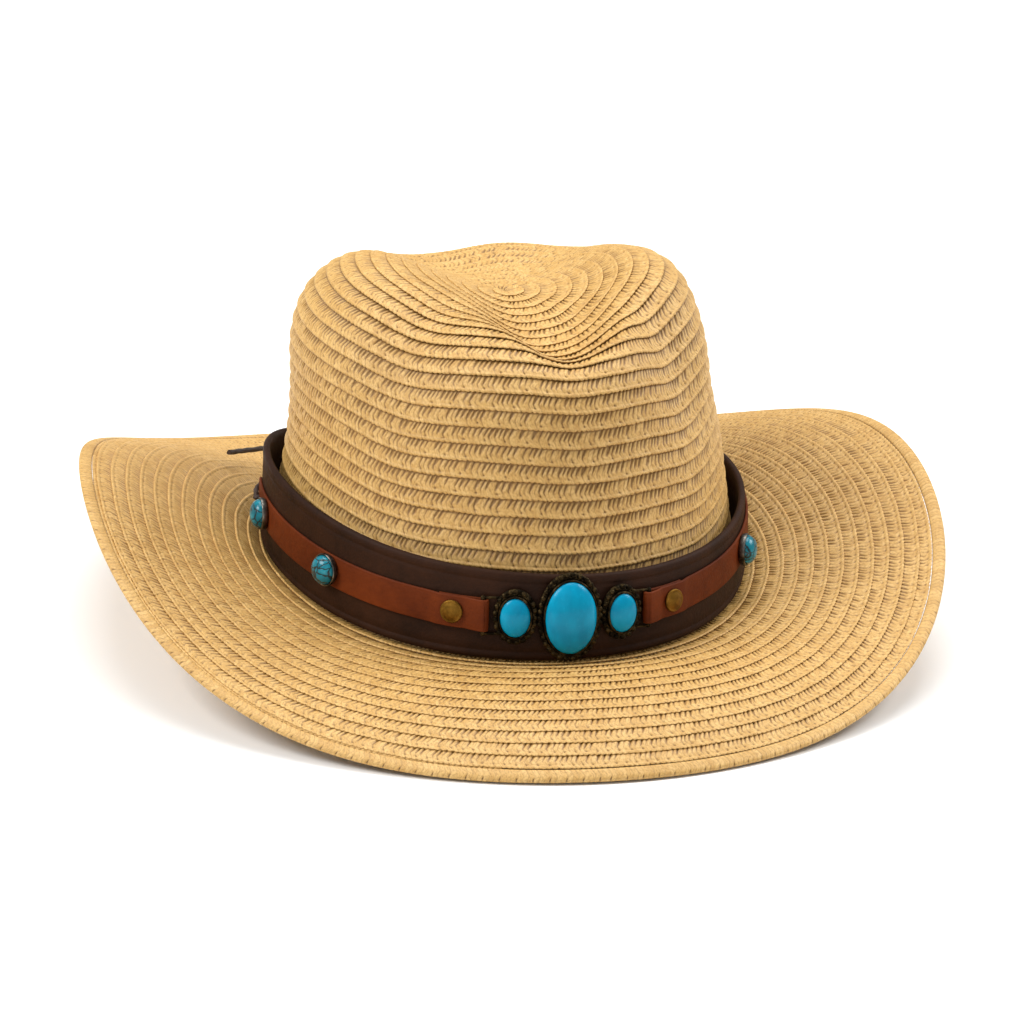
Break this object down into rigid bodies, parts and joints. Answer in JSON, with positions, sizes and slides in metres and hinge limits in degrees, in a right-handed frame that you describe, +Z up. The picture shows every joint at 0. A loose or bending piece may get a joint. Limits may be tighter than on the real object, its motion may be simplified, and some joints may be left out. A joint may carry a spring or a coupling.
{
  "type": "cowboy hat",
  "caption": "Cowboy hat of sewn straw braid with a creased crown, curled brim and a lift-off leather band with turquoise concho and studs.",
  "frame": {"origin": "centre of the hat's plan outline, on the surface that it stands on", "axes": "+Z up, -Y towards the front of the hat, +X towards the wearer's left"},
  "size_m": [0.3252, 0.3626, 0.1404],
  "materials": {
    "straw": "sewn plaited straw braid, honey coloured, matt with a slight sheen",
    "steel": "plain drawn wire",
    "brass_soft": "plain crimped tube",
    "sweatband_cloth": "dark woven cloth",
    "dark_leather": "dark brown smooth leather with rolled edges, semi-gloss",
    "rust_leather": "rust brown leather, semi-gloss",
    "antique_brass": "antiqued dark brass with rubbed high points",
    "turquoise": "polished sky-blue turquoise",
    "veined_turquoise": "polished green-blue turquoise with dark veins",
    "brass": "aged brass, lightly scratched",
    "silver": "silvered metal, aged",
    "cord": "thin round waxed cord, dark brown"
  },
  "bodies": {
    "hat": {"crown": "straw", "brim": "straw", "brim_hem": "straw", "brim_wire": "steel", "wire_ferrule": "brass_soft", "sweatband": "sweatband_cloth"},
    "band": {"band_leather": "dark_leather", "strap_left": "rust_leather", "strap_right": "rust_leather", "concho_frame": "antique_brass", "bezel_large": "antique_brass", "bezel_left": "antique_brass", "bezel_right": "antique_brass", "beads_large": "antique_brass", "beads_left": "antique_brass", "beads_right": "antique_brass", "stone_large": "turquoise", "stone_left": "turquoise", "stone_right": "turquoise", "rivet_caps": "brass", "rivet_posts": "brass", "stud_cups": "silver", "stud_stones": "veined_turquoise", "stud_posts": "silver", "lace_left": "cord", "lace_right": "cord", "tie_knot": "cord", "tail_left": "cord", "tail_right": "cord"}
  },
  "joints": [
    {"name": "band_lift", "type": "slide", "parent": "hat", "child": "band", "axis": [0, 0.0564, 0.9984], "range_m": [0, 0.14]}
  ]
}
